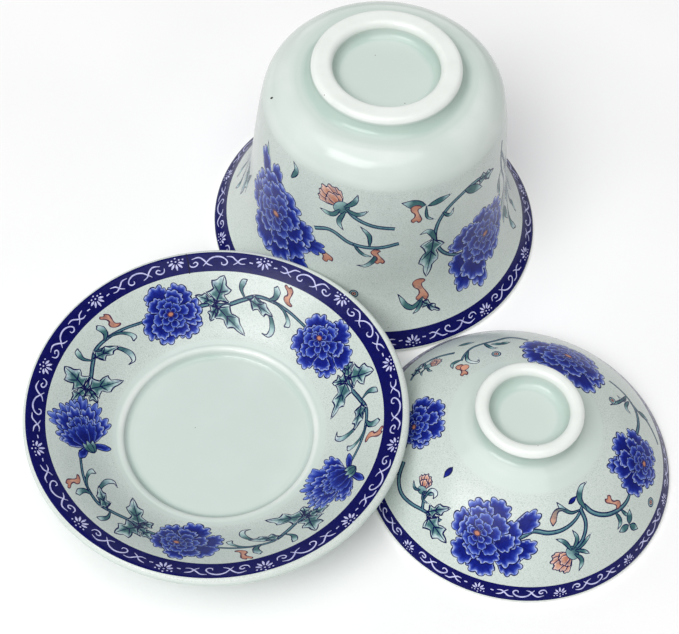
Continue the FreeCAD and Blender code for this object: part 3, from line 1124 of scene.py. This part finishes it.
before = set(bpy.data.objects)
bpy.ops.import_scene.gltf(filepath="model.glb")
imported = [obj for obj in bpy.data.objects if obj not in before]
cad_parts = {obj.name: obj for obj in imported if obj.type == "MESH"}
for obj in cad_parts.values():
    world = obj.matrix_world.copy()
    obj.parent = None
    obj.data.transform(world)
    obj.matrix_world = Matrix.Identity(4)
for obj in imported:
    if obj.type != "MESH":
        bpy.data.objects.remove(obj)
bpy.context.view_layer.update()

make("saucer", ({"radius": 30.9}, {"radius": 56.2}), {"radius": 49.54}, {"radius": 55.0},
     {"radius": 32.0}, saucer_design, 5, PAINT_STEP, 0.65)
make("bowl", ({"height": 69.4}, {"radius": 53.87}), {"height": 5.95}, {"radius": 53.78},
     {"height": 61.8}, bowl_design, 11, 0.82)
make("lid", ({"radius": 17.6}, {"radius": 46.58}), {"radius": 43.9}, {"radius": 46.5},
     {"radius": 22.5}, lid_design, 23, PAINT_STEP)

# ---- the studio

FLOOR_REACH = 3.0       # m from the middle to each side
FLOOR_DROP = 0.00005    # m, so that the floor never meets the pieces' standing faces
floor_mesh = bpy.data.meshes.new("floor")
floor_signs = ((-1, -1), (1, -1), (1, 1), (-1, 1))
floor_corners = [(x * FLOOR_REACH, y * FLOOR_REACH, 0) for x, y in floor_signs]
floor_mesh.from_pydata(floor_corners, [], [(0, 1, 2, 3)])
floor = placed("floor", floor_mesh)
floor.data.materials.append(paper())
floor.location.z = -FLOOR_DROP

# The camera, as fitted to the photo's circles.
TARGET = Vector((-0.00615, 0.00535, 0))
DISTANCE = 0.4858
PITCH = math.radians(56.2)
ROLL = math.radians(3.4)
away = Vector((0, -math.cos(PITCH), math.sin(PITCH)))
level = Vector((1, 0, 0))
upright = away.cross(level)
right = level * math.cos(ROLL) + upright * math.sin(ROLL)
up = upright * math.cos(ROLL) - level * math.sin(ROLL)
camera_data = bpy.data.cameras.new("camera")
camera_data.sensor_width = 36
camera_data.lens = 79.53
camera_data.clip_start, camera_data.clip_end = 0.01, 20
camera = placed("camera", camera_data)
camera_turn = Matrix((right, up, away)).transposed().to_4x4()
camera.matrix_world = Matrix.Translation(TARGET + away * DISTANCE) @ camera_turn
bpy.context.scene.camera = camera


def lamp(name, place, aim, size, power):
    """A soft light with the shape of a window, in metres and watts."""
    data = bpy.data.lights.new(name, "AREA")
    data.shape = "RECTANGLE"
    data.size, data.size_y = size
    data.energy = power
    item = placed(name, data)
    item.location = place
    item.rotation_euler = (Vector(place) - Vector(aim)).to_track_quat("Z", "Y").to_euler()


lamp("key", (-0.42, -0.62, 0.95), (0, 0, 0.02), (0.7, 0.55), 5.4)
sky = bpy.data.lights.new("sky", "SUN")     # a very wide sun: soft light from above
sky.energy = 1.62
sky.angle = math.radians(60)
placed("sky", sky).rotation_euler = (math.radians(16), math.radians(-9), 0)
lamp("back", (0.1, 1.3, 0.5), (0, 0, 0.03), (1.4, 0.4), 1.3)

# The backdrop looks nearly white to the camera, but lights the pieces much less than that.
AMBIENT = 0.25
BACKDROP = 0.96
world = bpy.data.worlds.new("studio")
world.use_nodes = True
backdrop = world.node_tree.nodes["Background"]
backdrop.inputs["Color"].default_value = (1.0, 1.0, 1.0, 1)
seen = world.node_tree.nodes.new("ShaderNodeLightPath").outputs["Is Camera Ray"]
brightness = world.node_tree.nodes.new("ShaderNodeMapRange")
brightness.inputs["To Min"].default_value = AMBIENT
brightness.inputs["To Max"].default_value = BACKDROP
world.node_tree.links.new(seen, brightness.inputs["Value"])
world.node_tree.links.new(brightness.outputs["Result"], backdrop.inputs["Strength"])
bpy.context.scene.world = world
bpy.context.scene.view_settings.view_transform = "Standard"
